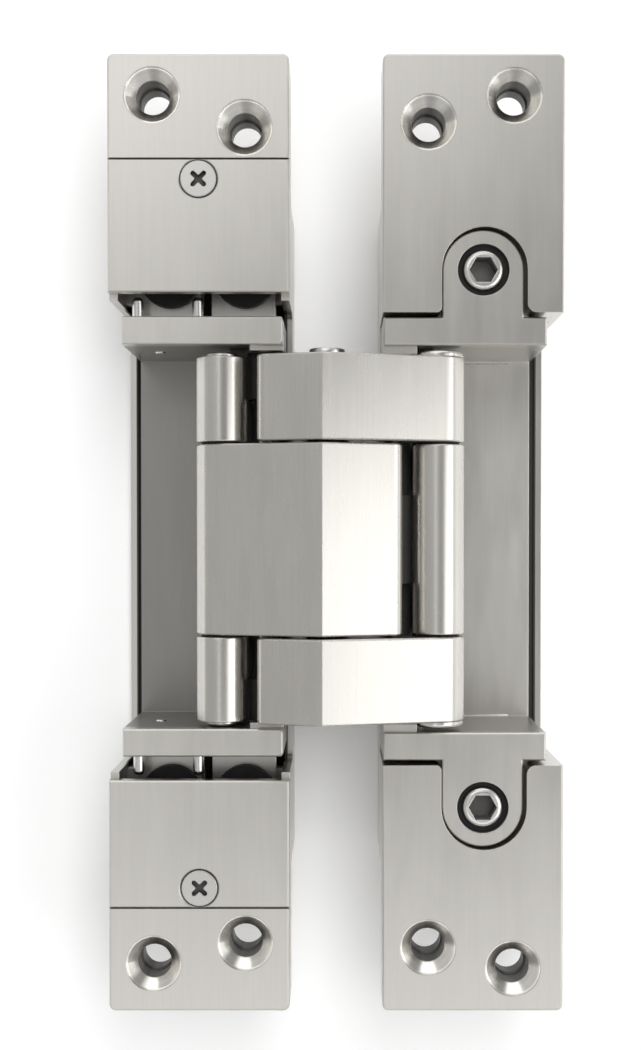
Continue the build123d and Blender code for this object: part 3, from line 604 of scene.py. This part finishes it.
CENTRE_PIN = middle_of("centre_pin")
for end, way, cap in (("top", 1, CAP_TOP), ("bottom", -1, CAP_BOTTOM)):
    turned_end(
        "left_%s_pin_end" % end, PIN_END_PROFILE, PIN_END_X, PIN_END_DEPTH,
        LEFT_MIDDLE + way * LEFT_POCKET, way, "left_slide",
    )
    turned_end(
        "centre_%s_pin_cap" % end, CAP_FOOT + [(radius, cap + step) for radius, step in CAP_CROWN],
        CENTRE_PIN.x / MM, (CENTRE_PIN.y - FRONT_Y) / MM, RIGHT_MIDDLE + way * LEAF_TOP, -way,
        "outer_arms",
    )
    bead("right_%s_bead" % end, RIGHT_MIDDLE + way * RIGHT_POCKET, way, "right_slide")

# The surface that the hinge lies on, behind both bodies
SURFACE_HALF = 1.2
SURFACE_GAP = 0.0006
SURFACE_COLOUR = 0.92
SURFACE_ROUGHNESS = 0.9
SURFACE_GLOW = 0.12


def white_surface(name):
    """Pale surface that reads white where nothing shades it, and can't be seen from behind."""
    material, shader = new_material(name)
    tree = material.node_tree
    nodes, links = tree.nodes, tree.links
    shader.inputs["Base Color"].default_value = (*grey(SURFACE_COLOUR), 1.0)
    shader.inputs["Roughness"].default_value = SURFACE_ROUGHNESS
    path = nodes.new("ShaderNodeLightPath")
    seen = math_node(
        tree, "ADD", path.outputs["Is Camera Ray"], path.outputs["Is Glossy Ray"], clamp=True
    )
    seen = math_node(tree, "ADD", seen, path.outputs["Is Transmission Ray"], clamp=True)
    emission = nodes.new("ShaderNodeEmission")
    links.new(math_node(tree, "MULTIPLY", seen, SURFACE_GLOW), emission.inputs["Strength"])
    added = nodes.new("ShaderNodeAddShader")
    links.new(shader.outputs[0], added.inputs[0])
    links.new(emission.outputs[0], added.inputs[1])
    clear = nodes.new("ShaderNodeBsdfTransparent")
    side = nodes.new("ShaderNodeNewGeometry")
    mix = nodes.new("ShaderNodeMixShader")
    links.new(side.outputs["Backfacing"], mix.inputs["Fac"])
    links.new(added.outputs[0], mix.inputs[1])
    links.new(clear.outputs[0], mix.inputs[2])
    links.new(mix.outputs[0], nodes["Material Output"].inputs["Surface"])
    return material


surface_y = CAD_BOX[1].y + SURFACE_GAP
corners = [
    (side_x * SURFACE_HALF, surface_y, side_z * SURFACE_HALF)
    for side_x, side_z in ((-1, -1), (1, -1), (1, 1), (-1, 1))
]
surface_mesh = bpy.data.meshes.new("surface")
surface_mesh.from_pydata(corners, [], [(0, 1, 2, 3)])
surface_mesh.materials.append(white_surface("surface_white"))
surface = bpy.data.objects.new("surface", surface_mesh)
bpy.context.scene.collection.objects.link(surface)

# Soft boxes round the hinge: azimuth to the right and elevation upwards in degrees, distance, width
# and height in metres, and the brightness of the face. Only metal sees the boxes of the first kind.
METAL_BOXES = {
    "upper_left": (-12, 30, 0.75, 0.62, 0.34, 0.82),
    "left_front": (-13, 3, 0.75, 0.06, 0.56, 1.00),
    "lower": (0, -32, 0.75, 0.66, 0.36, 0.68),
    "left_side": (-95, 0, 0.70, 0.30, 0.60, 0.90),
    "key_side": (57, 4, 0.80, 0.20, 0.50, 1.90),
}
OPEN_BOXES = {
    "key": (42, -12, 0.80, 0.44, 0.53, 1.75),
    "overhead": (10, 72, 0.85, 0.80, 0.50, 1.00),
    "right_side": (88, 0, 0.70, 0.30, 0.60, 0.85),
}
SURFACE_BOX = (10, 20, 0.90, 0.35, 0.90, 4.6)
BEHIND_PLACE = (0.10, 0.80, 0.50)
BEHIND_SIZE = 0.80
BEHIND_RADIANCE = 0.8


def seen_from_middle(azimuth, elevation, distance):
    """A place in front of the hinge, azimuth to the right, elevation upwards, in degrees."""
    a = math.radians(azimuth)
    e = math.radians(elevation)
    step = Vector((math.sin(a) * math.cos(e), -math.cos(a) * math.cos(e), math.sin(e)))
    return MIDDLE + step * distance


def area_light(name, place, width, height, radiance):
    """A soft box that faces the hinge. radiance is the brightness of its face."""
    data = bpy.data.lights.new(name, "AREA")
    data.shape = "RECTANGLE"
    data.size = width
    data.size_y = height
    data.energy = radiance * math.pi * width * height
    obj = bpy.data.objects.new(name, data)
    obj.location = place
    obj.rotation_mode = "QUATERNION"
    obj.rotation_quaternion = (MIDDLE - Vector(place)).to_track_quat("-Z", "Y")
    bpy.context.scene.collection.objects.link(obj)
    return obj


def soft_box(name, azimuth, elevation, distance, width, height, radiance):
    """A soft box at a place round the hinge."""
    place = seen_from_middle(azimuth, elevation, distance)
    return area_light(name, place, width, height, radiance)


for name, box in METAL_BOXES.items():
    soft_box(name, *box).visible_diffuse = False
for name, box in OPEN_BOXES.items():
    soft_box(name, *box)
area_light("behind_fill", BEHIND_PLACE, BEHIND_SIZE, BEHIND_SIZE, BEHIND_RADIANCE)
soft_box("surface_lamp", *SURFACE_BOX).visible_glossy = False

# World: white to the camera, and grey all round to the object, darker where the viewer stands, in
# front and a little up and to the right
AMBIENT = 0.56
VIEWER_SHADE = 0.25
VIEWER_AZIMUTH = math.radians(13.0)
VIEWER_ELEVATION = math.radians(7.0)
SHADE_INNER, SHADE_OUTER = 0.08, 0.40

world = bpy.data.worlds.new("studio")
bpy.context.scene.world = world
world.use_nodes = True
world_nodes = world.node_tree.nodes
world_links = world.node_tree.links
background = world_nodes["Background"]
viewer_side = Vector((
    math.sin(VIEWER_AZIMUTH), -math.cos(VIEWER_AZIMUTH), math.sin(VIEWER_ELEVATION),
))
direction = world_nodes.new("ShaderNodeTexCoord").outputs["Generated"]
facing = world_nodes.new("ShaderNodeVectorMath")
facing.operation = "DISTANCE"
facing.inputs[1].default_value = viewer_side.normalized()
world_links.new(direction, facing.inputs[0])
shade = smooth(
    world.node_tree, facing.outputs["Value"], SHADE_INNER, SHADE_OUTER, VIEWER_SHADE, AMBIENT
)
world_links.new(shade, background.inputs["Color"])
backdrop = world_nodes.new("ShaderNodeBackground")
backdrop.inputs["Color"].default_value = (1.0, 1.0, 1.0, 1.0)
ray = world_nodes.new("ShaderNodeLightPath")
choose = world_nodes.new("ShaderNodeMixShader")
world_links.new(ray.outputs["Is Camera Ray"], choose.inputs["Fac"])
world_links.new(background.outputs[0], choose.inputs[1])
world_links.new(backdrop.outputs[0], choose.inputs[2])
world_links.new(choose.outputs[0], world_nodes["World Output"].inputs["Surface"])

# Camera at the photograph's place
focal_pixels = PIXELS_PER_MM * CAMERA_DISTANCE / MM
axis_y = VANISH_Y + focal_pixels * math.tan(PITCH_DOWN)
camera_data = bpy.data.cameras.new("camera")
camera_data.sensor_width = SENSOR
camera_data.lens = focal_pixels / PHOTO_H * SENSOR
camera_data.clip_start = CLIP_NEAR
camera_data.clip_end = CLIP_FAR
camera_data.shift_x = (PHOTO_W / 2 - VANISH_X) / PHOTO_H
camera_data.shift_y = (axis_y - PHOTO_H / 2) / PHOTO_H
camera = bpy.data.objects.new("camera", camera_data)
camera.location = (CAMERA_X, FRONT_Y - CAMERA_DISTANCE, CAMERA_Z)
camera.rotation_euler = (math.radians(90.0) - PITCH_DOWN, 0.0, 0.0)
bpy.context.scene.collection.objects.link(camera)
bpy.context.scene.camera = camera

bpy.context.scene.view_settings.view_transform = "Standard"
